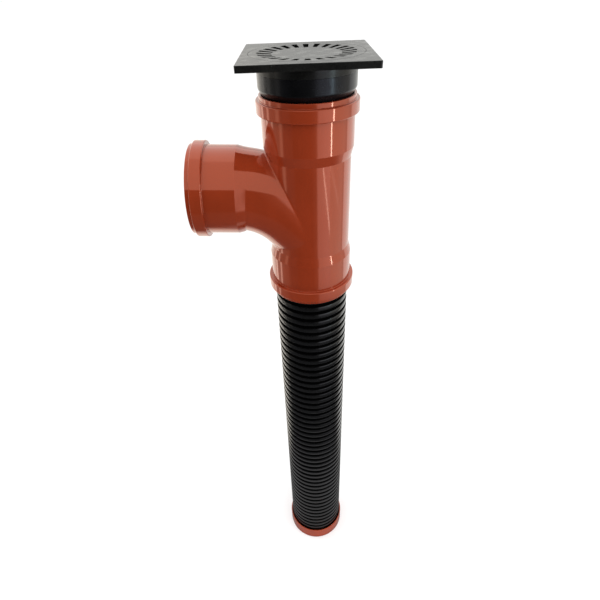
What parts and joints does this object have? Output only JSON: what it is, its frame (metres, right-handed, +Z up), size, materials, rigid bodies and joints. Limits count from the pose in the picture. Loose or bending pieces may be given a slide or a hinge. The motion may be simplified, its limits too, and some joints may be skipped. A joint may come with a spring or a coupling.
{
  "type": "gully trap",
  "caption": "Upright yard gully: square grate frame with a round slotted insert, a neck, a tee with a swept side branch, a corrugated sump riser and a base cap.",
  "frame": {"origin": "centre of the base cap's underside, on the ground", "axes": "+Z up along the riser, -X along the tee's side branch, +Y to the back"},
  "size_m": [0.3412, 0.2208, 1.468],
  "materials": {
    "terracotta_plastic": "moulded gloss",
    "black_moulding": "moulded satin to gloss",
    "black_grate": "fine matt grain",
    "black_riser": "extruded gloss",
    "seal_rubber": "matt"
  },
  "bodies": {
    "root": {"grate_frame": "black_grate", "grate_insert": "black_grate", "neck": "black_moulding", "tee": "terracotta_plastic", "top_seal_ring": "seal_rubber", "branch_seal_ring": "seal_rubber", "bottom_seal_ring": "seal_rubber", "riser_pipe": "black_riser", "cap_seal_ring": "seal_rubber", "base_cap": "terracotta_plastic"}
  },
  "joints": []
}
